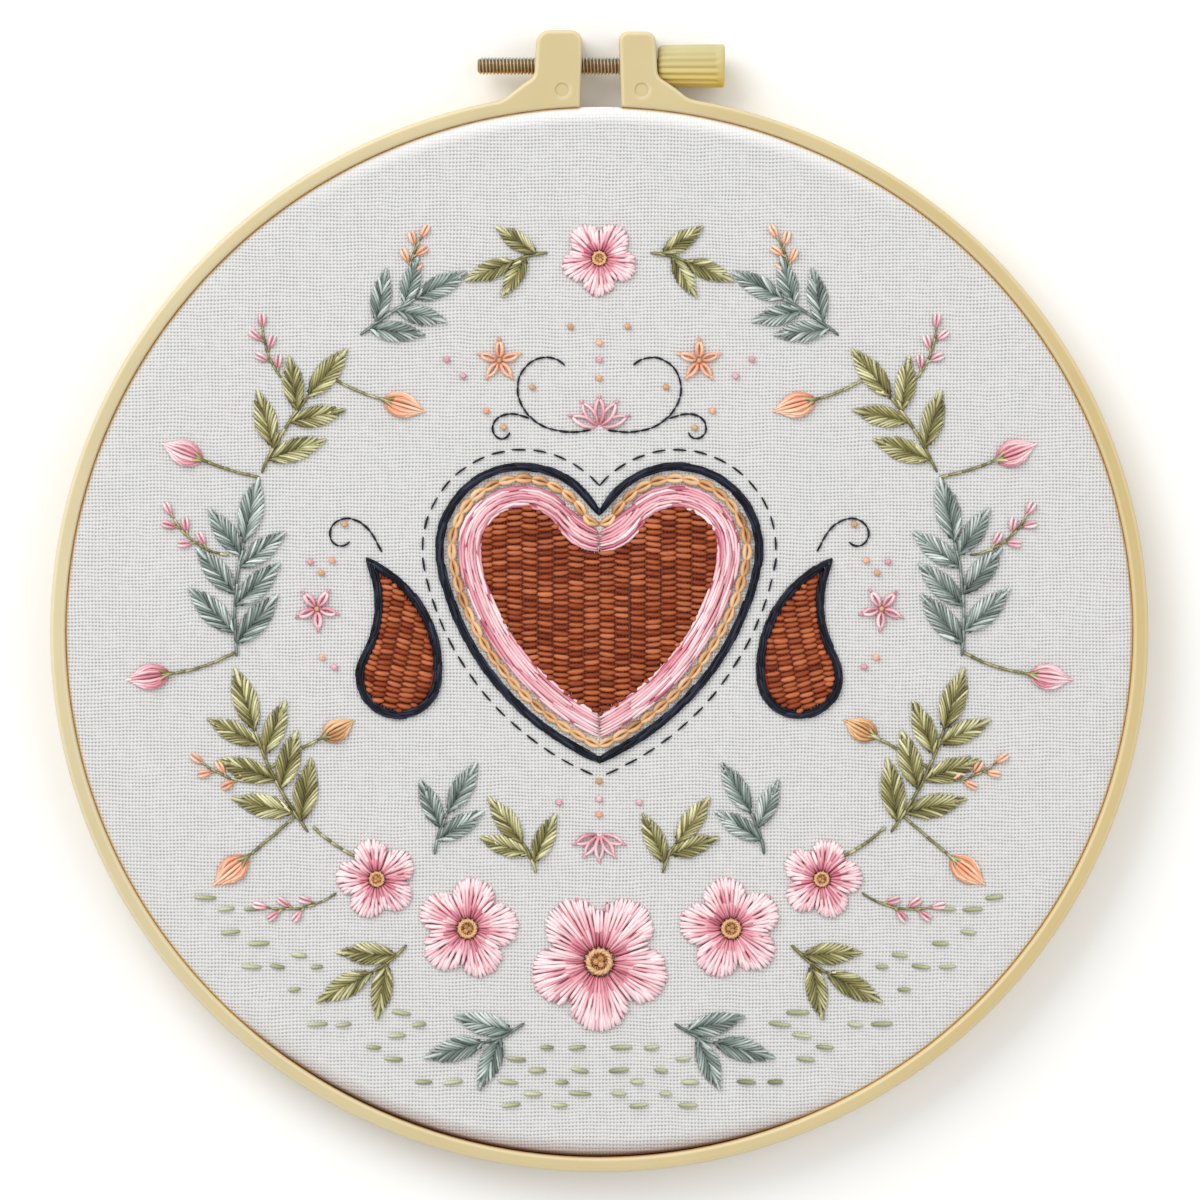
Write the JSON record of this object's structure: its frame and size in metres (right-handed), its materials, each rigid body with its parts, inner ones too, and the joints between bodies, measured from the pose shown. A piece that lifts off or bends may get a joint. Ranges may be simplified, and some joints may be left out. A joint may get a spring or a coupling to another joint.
{
  "type": "hoop embroidery art in a clamping embroidery hoop",
  "caption": "Round stitched cloth drawn tight over an inner hoop, held in a split outer hoop closed by a clamp screw with a fluted knob.",
  "frame": {"origin": "centre of the whole part's outline in X and Y, on the surface that its back rests on", "axes": "+Z out of the stitched face, +Y from the hoop's centre towards the clamp, +X along the clamp screw towards its knob"},
  "size_m": [0.2, 0.208, 0.0108],
  "materials": {
    "hoop_plastic": "moulded, satin, pale cream yellow",
    "knob_plastic": "moulded, satin, slightly yellower than the hoop",
    "screw_steel": "machine thread, dull bronze-toned plating",
    "cloth": "plain weave cotton linen, off-white",
    "thread_pink": "stranded cotton, light to deep pink, soft sheen",
    "thread_rust": "stranded cotton, rust brown, soft sheen",
    "thread_navy": "stranded cotton, blue-black, soft sheen",
    "thread_gold": "stranded cotton, golden brown, soft sheen",
    "thread_olive": "stranded cotton, olive green, soft sheen",
    "thread_sage": "stranded cotton, grey sage green, soft sheen",
    "thread_peach": "stranded cotton, peach, soft sheen"
  },
  "bodies": {
    "hoop": {"outer_hoop": "hoop_plastic", "inner_hoop": "hoop_plastic", "cloth": "cloth", "blossom_large": "thread_pink", "blossom_large_knot": "thread_gold", "blossom_middle_knot_left": "thread_gold", "blossom_middle_knot_right": "thread_gold", "blossom_middle_left": "thread_pink", "blossom_middle_right": "thread_pink", "blossom_small_knot_left": "thread_gold", "blossom_small_knot_right": "thread_gold", "blossom_small_left": "thread_pink", "blossom_small_right": "thread_pink", "blossom_top": "thread_pink", "blossom_top_knot": "thread_gold", "bud_end_left": "thread_peach", "bud_end_right": "thread_peach", "bud_high_left": "thread_pink", "bud_high_right": "thread_pink", "bud_inner_left": "thread_gold", "bud_inner_right": "thread_gold", "bud_low_left": "thread_peach", "bud_low_right": "thread_peach", "bud_side_left": "thread_pink", "bud_side_right": "thread_pink", "heart_band": "thread_pink", "heart_chain": "thread_gold", "heart_filling": "thread_rust", "heart_outline": "thread_navy", "paisley_filling_left": "thread_rust", "paisley_filling_right": "thread_rust", "paisley_outline_left": "thread_navy", "paisley_outline_right": "thread_navy", "spray_heart_left": "thread_sage", "spray_heart_right": "thread_sage", "spray_inner_left": "thread_olive", "spray_inner_right": "thread_olive", "spray_low_left": "thread_sage", "spray_low_right": "thread_sage", "spray_side_left": "thread_olive", "spray_side_right": "thread_olive", "spray_top_left": "thread_olive", "spray_top_right": "thread_olive", "vine_end_left": "thread_sage", "vine_end_right": "thread_sage", "vine_high_left": "thread_olive", "vine_high_right": "thread_olive", "vine_low_left": "thread_olive", "vine_low_right": "thread_olive", "vine_middle_left": "thread_sage", "vine_middle_right": "thread_sage"},
    "thumbscrew": {"clamp_screw": "screw_steel", "clamp_knob": "knob_plastic"}
  },
  "joints": [
    {"name": "thumbscrew_turn", "type": "hinge", "parent": "hoop", "child": "thumbscrew", "pos_m": [0.0105, 0.0977, 0.005], "axis": [1, 0, 0], "continuous": true}
  ]
}
